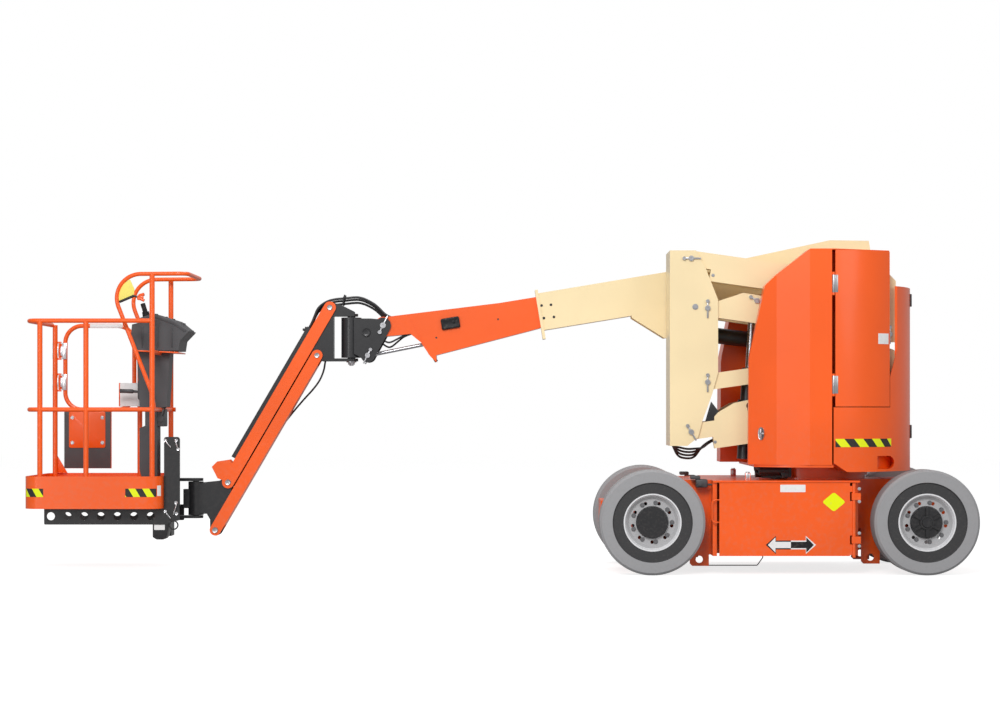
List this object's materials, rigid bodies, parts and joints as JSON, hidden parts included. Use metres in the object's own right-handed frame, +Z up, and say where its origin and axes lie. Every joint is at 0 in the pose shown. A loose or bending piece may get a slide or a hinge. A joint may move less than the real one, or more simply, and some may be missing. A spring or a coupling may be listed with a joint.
{
  "type": "articulating boom lift",
  "caption": "Articulating boom lift: battery chassis, slewing turntable with hoods, parallelogram tower, telescopic boom, swinging jib and a railed work platform.",
  "frame": {"origin": "middle of the bounding box's footprint, on the floor", "axes": "+X from the work platform towards the steered front axle, +Y to the far side, +Z up"},
  "size_m": [5.824, 1.22, 2.0628],
  "materials": {
    "battery_case": "matte",
    "black": "satin",
    "chrome": "polished",
    "cream": "satin",
    "orange": "gloss",
    "rim_grey": "satin",
    "rubber_black": "matte",
    "tyre_grey": "matte"
  },
  "bodies": {
    "chassis": {"chassis_frame": "orange", "rear_axle": "black", "front_axle": "black", "ground_strap": "rubber_black", "tie_down_plates": "orange"},
    "knuckle_near": {"knuckle_near": "black"},
    "knuckle_far": {"knuckle_far": "black"},
    "tie_rod": {"tie_rod": "black"},
    "wheel_rear_near": {"tyre_rear_near": "tyre_grey", "rim_rear_near": "rim_grey"},
    "wheel_rear_far": {"tyre_rear_far": "tyre_grey", "rim_rear_far": "rim_grey"},
    "wheel_front_near": {"tyre_front_near": "tyre_grey", "rim_front_near": "rim_grey"},
    "wheel_front_far": {"tyre_front_far": "tyre_grey", "rim_front_far": "rim_grey"},
    "battery_door_near": {"battery_door_near": "orange", "batteries_near": "battery_case"},
    "battery_door_far": {"battery_door_far": "orange", "batteries_far": "battery_case"},
    "turntable": {"turntable_frame": "orange", "tower_base": "cream", "counterweight": "orange", "swing_drive": "black", "hood_near": "orange", "hood_far": "orange", "power_unit": "black"},
    "hood_door_near": {"hood_door_near": "orange"},
    "hood_door_far": {"hood_door_far": "orange"},
    "tower_lower_arm": {"tower_lower_arm": "cream"},
    "tower_lower_link": {"tower_lower_link": "cream"},
    "tower_mid_upright": {"tower_mid_upright": "cream"},
    "tower_upper_arm": {"tower_upper_arm": "cream"},
    "tower_upper_link": {"tower_upper_link": "cream"},
    "tower_rear_upright": {"tower_rear_upright": "cream"},
    "tower_cylinder_barrel": {"tower_cylinder_barrel": "black"},
    "tower_cylinder_rod": {"tower_cylinder_rod": "chrome"},
    "boom_main": {"boom_main": "cream"},
    "boom_fly": {"boom_fly": "orange"},
    "lift_cylinder_barrel": {"lift_cylinder_barrel": "black"},
    "lift_cylinder_rod": {"lift_cylinder_rod": "chrome"},
    "level_cylinder_barrel": {"level_cylinder_barrel": "black"},
    "level_cylinder_rod": {"level_cylinder_rod": "chrome"},
    "tip_bracket": {"tip_bracket": "black"},
    "jib_base": {"jib_base": "black"},
    "jib_arm": {"jib_arm": "orange", "jib_hose_tray": "black"},
    "jib_link": {"jib_link": "orange"},
    "jib_cylinder_barrel": {"jib_cylinder_barrel": "black"},
    "jib_cylinder_rod": {"jib_cylinder_rod": "chrome"},
    "jib_end": {"jib_end": "black"},
    "platform": {"platform_support": "black", "platform_tray": "orange", "platform_rails": "orange", "overhead_guard": "orange", "control_console": "black"},
    "platform_gate": {"platform_gate": "orange"}
  },
  "joints": [
    {"name": "wheel_rear_near", "type": "hinge", "parent": "chassis", "child": "wheel_rear_near", "pos_m": [0.9445, -0.521, 0.3175], "axis": [0, 1, 0], "continuous": true},
    {"name": "wheel_rear_far", "type": "hinge", "parent": "chassis", "child": "wheel_rear_far", "pos_m": [0.9445, 0.521, 0.3175], "axis": [0, 1, 0], "continuous": true},
    {"name": "wheel_front_near", "type": "hinge", "parent": "knuckle_near", "child": "wheel_front_near", "pos_m": [2.5945, -0.521, 0.3175], "axis": [0, 1, 0], "continuous": true},
    {"name": "wheel_front_far", "type": "hinge", "parent": "knuckle_far", "child": "wheel_front_far", "pos_m": [2.5945, 0.521, 0.3175], "axis": [0, 1, 0], "continuous": true},
    {"name": "steer_near", "type": "hinge", "parent": "chassis", "child": "knuckle_near", "pos_m": [2.5945, -0.383, 0.3175], "axis": [0, 0, 1], "range_deg": [-38, 38]},
    {"name": "steer_far", "type": "hinge", "parent": "chassis", "child": "knuckle_far", "pos_m": [2.5945, 0.383, 0.3175], "axis": [0, 0, 1], "range_deg": [-38, 38]},
    {"name": "tie_rod_pivot", "type": "hinge", "parent": "knuckle_near", "child": "tie_rod", "pos_m": [2.4645, -0.383, 0.228], "axis": [0, 0, 1], "range_deg": [-38, 38]},
    {"name": "battery_door_near_hinge", "type": "hinge", "parent": "chassis", "child": "battery_door_near", "pos_m": [2.1605, -0.56, 0.329], "axis": [0, 0, 1], "range_deg": [0, 100]},
    {"name": "battery_door_far_hinge", "type": "hinge", "parent": "chassis", "child": "battery_door_far", "pos_m": [2.1605, 0.56, 0.329], "axis": [0, 0, -1], "range_deg": [0, 100]},
    {"name": "turntable_swing", "type": "hinge", "parent": "chassis", "child": "turntable", "pos_m": [1.9815, 0, 0.62], "axis": [0, 0, 1], "range_deg": [-175, 175]},
    {"name": "hood_door_near_hinge", "type": "hinge", "parent": "turntable", "child": "hood_door_near", "pos_m": [2.0315, -0.601, 1.5], "axis": [0, 0, -1], "range_deg": [0, 110]},
    {"name": "hood_door_far_hinge", "type": "hinge", "parent": "turntable", "child": "hood_door_far", "pos_m": [2.0315, 0.601, 1.5], "axis": [0, 0, 1], "range_deg": [0, 110]},
    {"name": "tower_lift", "type": "hinge", "parent": "turntable", "child": "tower_lower_arm", "pos_m": [2.3115, -0.18, 1.019], "axis": [0, 1, 0], "range_deg": [0, 50]},
    {"name": "tower_link_pivot", "type": "hinge", "parent": "turntable", "child": "tower_lower_link", "pos_m": [2.4125, -0.18, 1.324], "axis": [0, 1, 0], "range_deg": [0, 50]},
    {"name": "tower_upright_pivot", "type": "hinge", "parent": "tower_lower_arm", "child": "tower_mid_upright", "pos_m": [1.1965, -0.18, 0.86], "axis": [0, 1, 0], "range_deg": [-50, 0]},
    {"name": "tower_upper_pivot", "type": "hinge", "parent": "tower_mid_upright", "child": "tower_upper_arm", "pos_m": [1.2975, -0.18, 1.618], "axis": [0, 1, 0], "range_deg": [-50, 0]},
    {"name": "tower_upper_link_pivot", "type": "hinge", "parent": "tower_mid_upright", "child": "tower_upper_link", "pos_m": [1.1965, -0.18, 1.923], "axis": [0, 1, 0], "range_deg": [-50, 0]},
    {"name": "tower_head_pivot", "type": "hinge", "parent": "tower_upper_arm", "child": "tower_rear_upright", "pos_m": [2.4125, -0.18, 1.459], "axis": [0, 1, 0], "range_deg": [0, 50]},
    {"name": "tower_barrel_pivot", "type": "hinge", "parent": "tower_lower_arm", "child": "tower_cylinder_barrel", "pos_m": [1.5575, -0.185, 1.02], "axis": [0, 1, 0], "range_deg": [-62.45, 0]},
    {"name": "tower_rod_slide", "type": "slide", "parent": "tower_cylinder_barrel", "child": "tower_cylinder_rod", "axis": [0.0576, 0, 0.9983], "range_m": [0, 0.5734]},
    {"name": "boom_lift", "type": "hinge", "parent": "tower_rear_upright", "child": "boom_main", "pos_m": [2.2995, 0.085, 1.944], "axis": [0, 1, 0], "range_deg": [0, 75]},
    {"name": "lift_barrel_pivot", "type": "hinge", "parent": "tower_rear_upright", "child": "lift_cylinder_barrel", "pos_m": [2.3495, 0.085, 1.35], "axis": [0, 1, 0], "range_deg": [0, 61.62]},
    {"name": "lift_rod_slide", "type": "slide", "parent": "lift_cylinder_barrel", "child": "lift_cylinder_rod", "axis": [-0.9929, 0, 0.1188], "range_m": [0, 0.6252]},
    {"name": "fly_extend", "type": "slide", "parent": "boom_main", "child": "boom_fly", "axis": [-0.9869, 0, -0.1616], "range_m": [0, 1]},
    {"name": "tip_level", "type": "hinge", "parent": "boom_fly", "child": "tip_bracket", "pos_m": [-0.714, 0.085, 1.52652], "axis": [0, 1, 0], "range_deg": [-75, 0]},
    {"name": "level_barrel_pivot", "type": "hinge", "parent": "boom_fly", "child": "level_cylinder_barrel", "pos_m": [0.09861, 0.085, 1.52076], "axis": [0, 1, 0], "range_deg": [-1.58, 0]},
    {"name": "level_rod_slide", "type": "slide", "parent": "level_cylinder_barrel", "child": "level_cylinder_rod", "axis": [-0.9805, 0, -0.1965], "range_m": [-0.2625, 0]},
    {"name": "jib_swing", "type": "hinge", "parent": "tip_bracket", "child": "jib_base", "pos_m": [-0.919, 0.085, 1.45], "axis": [0, 0, 1], "range_deg": [-90, 90]},
    {"name": "jib_lift", "type": "hinge", "parent": "jib_base", "child": "jib_arm", "pos_m": [-1.051, 0.085, 1.64052], "axis": [0, 1, 0], "range_deg": [0, 144]},
    {"name": "jib_link_pivot", "type": "hinge", "parent": "jib_base", "child": "jib_link", "pos_m": [-1.132, 0.085, 1.33902], "axis": [0, 1, 0], "range_deg": [0, 144]},
    {"name": "jib_end_pivot", "type": "hinge", "parent": "jib_arm", "child": "jib_end", "pos_m": [-1.693, 0.085, 0.53852], "axis": [0, 1, 0], "range_deg": [-144, 0]},
    {"name": "jib_barrel_pivot", "type": "hinge", "parent": "jib_base", "child": "jib_cylinder_barrel", "pos_m": [-1.132, 0.085, 1.33902], "axis": [0, 1, 0], "range_deg": [0, 150.41]},
    {"name": "jib_rod_slide", "type": "slide", "parent": "jib_cylinder_barrel", "child": "jib_cylinder_rod", "axis": [-0.5739, 0, -0.8189], "range_m": [0, 0.6055]},
    {"name": "platform_rotate", "type": "hinge", "parent": "jib_end", "child": "platform", "pos_m": [-1.903, 0.085, 0.436], "axis": [0, 0, 1], "range_deg": [-90, 90]},
    {"name": "platform_gate_hinge", "type": "hinge", "parent": "platform", "child": "platform_gate", "pos_m": [-2.842, 0.435, 1.276], "axis": [0, 0, -1], "range_deg": [0, 90]}
  ],
  "couplings": [
    {"joint": "steer_far", "follows": "steer_near", "ratio": 1},
    {"joint": "tie_rod_pivot", "follows": "steer_near", "ratio": -1},
    {"joint": "tower_link_pivot", "follows": "tower_lift", "ratio": 1},
    {"joint": "tower_upright_pivot", "follows": "tower_lift", "ratio": -1},
    {"joint": "tower_upper_pivot", "follows": "tower_lift", "ratio": -1},
    {"joint": "tower_upper_link_pivot", "follows": "tower_lift", "ratio": -1},
    {"joint": "tower_head_pivot", "follows": "tower_lift", "ratio": 1},
    {"joint": "tower_barrel_pivot", "follows": "tower_lift", "ratio": -1.1896},
    {"joint": "tower_rod_slide", "follows": "tower_lift", "m_per_rad": 0.64421},
    {"joint": "lift_barrel_pivot", "follows": "boom_lift", "ratio": 0.7825},
    {"joint": "lift_rod_slide", "follows": "boom_lift", "m_per_rad": 0.46827},
    {"joint": "tip_level", "follows": "boom_lift", "ratio": -1},
    {"joint": "level_barrel_pivot", "follows": "boom_lift", "ratio": -0.02},
    {"joint": "level_rod_slide", "follows": "boom_lift", "m_per_rad": -0.19658},
    {"joint": "jib_link_pivot", "follows": "jib_lift", "ratio": 1},
    {"joint": "jib_end_pivot", "follows": "jib_lift", "ratio": -1},
    {"joint": "jib_barrel_pivot", "follows": "jib_lift", "ratio": 0.9948},
    {"joint": "jib_rod_slide", "follows": "jib_lift", "m_per_rad": 0.23619}
  ]
}
